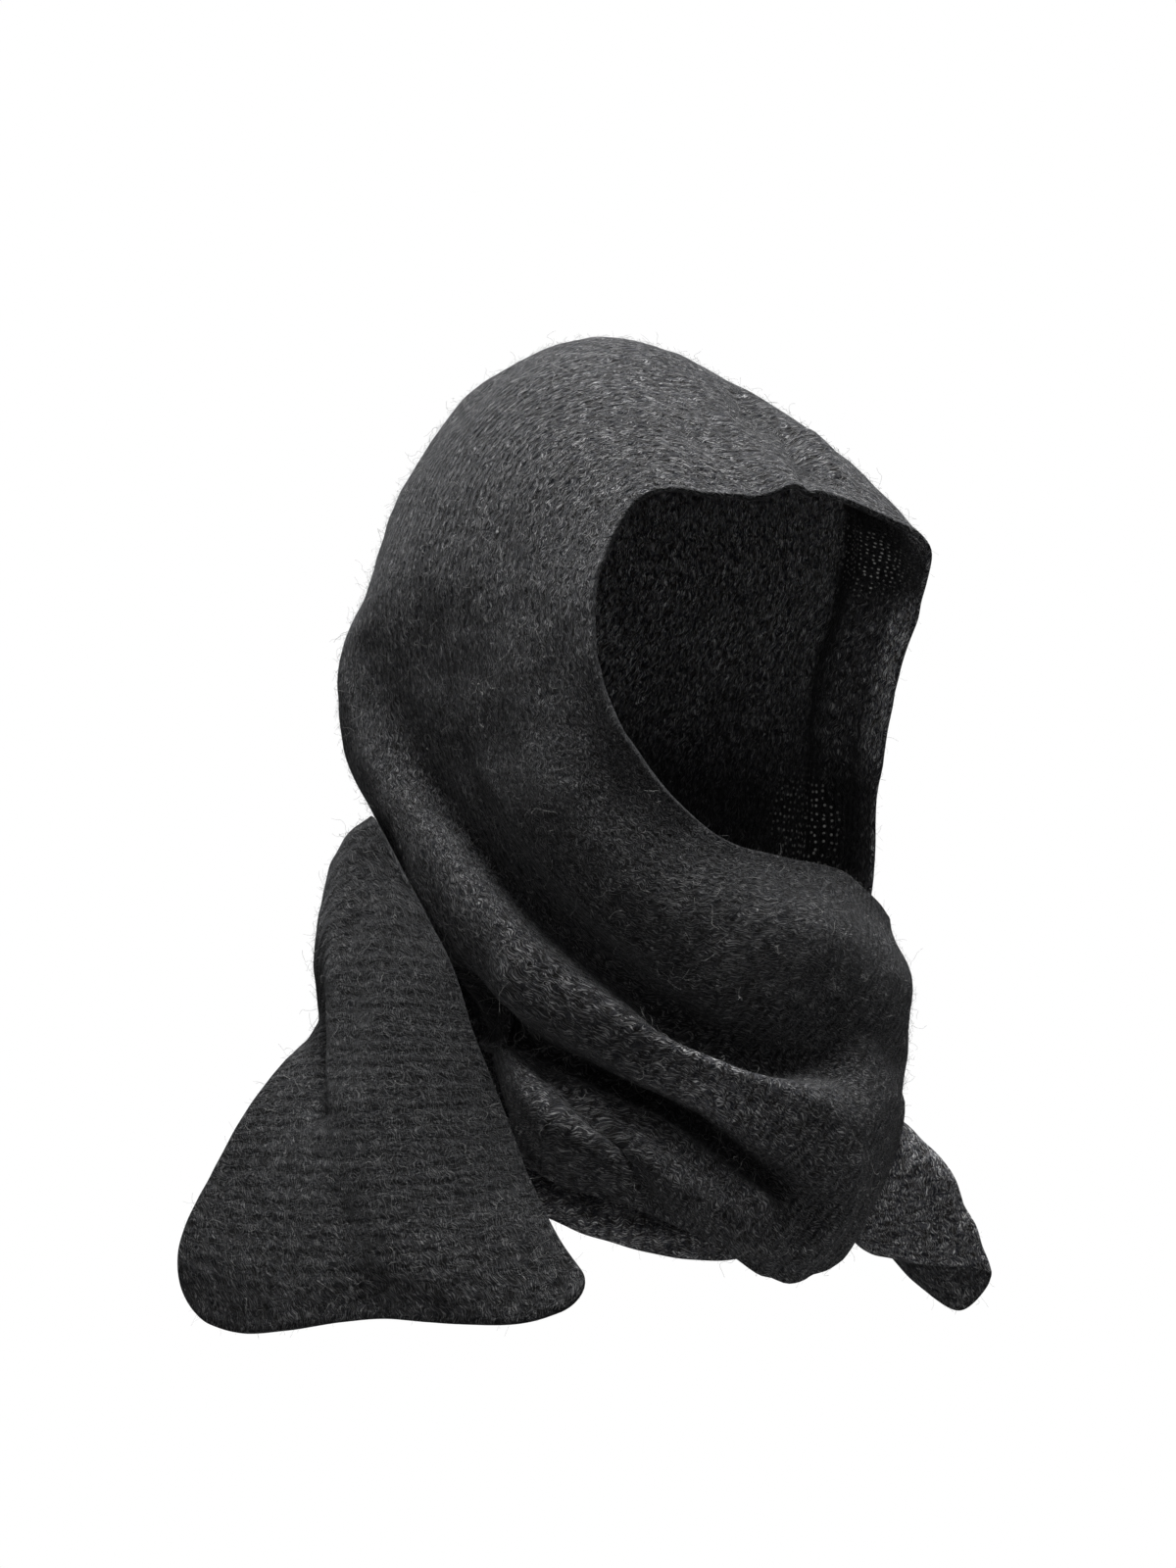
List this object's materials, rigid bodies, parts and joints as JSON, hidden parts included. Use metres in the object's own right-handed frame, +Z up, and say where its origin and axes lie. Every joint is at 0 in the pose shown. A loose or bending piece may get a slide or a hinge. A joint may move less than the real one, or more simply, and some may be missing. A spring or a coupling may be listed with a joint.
{
  "type": "hooded scarf",
  "caption": "Knitted hooded scarf in its worn form: a deep hood that runs into a rolled front wrap, a loop under it, and two scarf tails over the shoulders.",
  "frame": {"origin": "top of the head, on the inside of the crown, where the head carries the hood", "axes": "+Z up, the face looks along -Y, the wearer's left is +X"},
  "size_m": [0.4717, 0.3749, 0.6108],
  "materials": {
    "knit_face": "brushed charcoal heather knit, face side with upright columns, long soft fibres",
    "knit_reverse": "brushed charcoal heather knit, reverse side with faint rows across"
  },
  "bodies": {
    "root": {"hood": "knit_face", "under_wrap": "knit_face", "right_tail": "knit_reverse", "left_tail": "knit_reverse"}
  },
  "joints": []
}
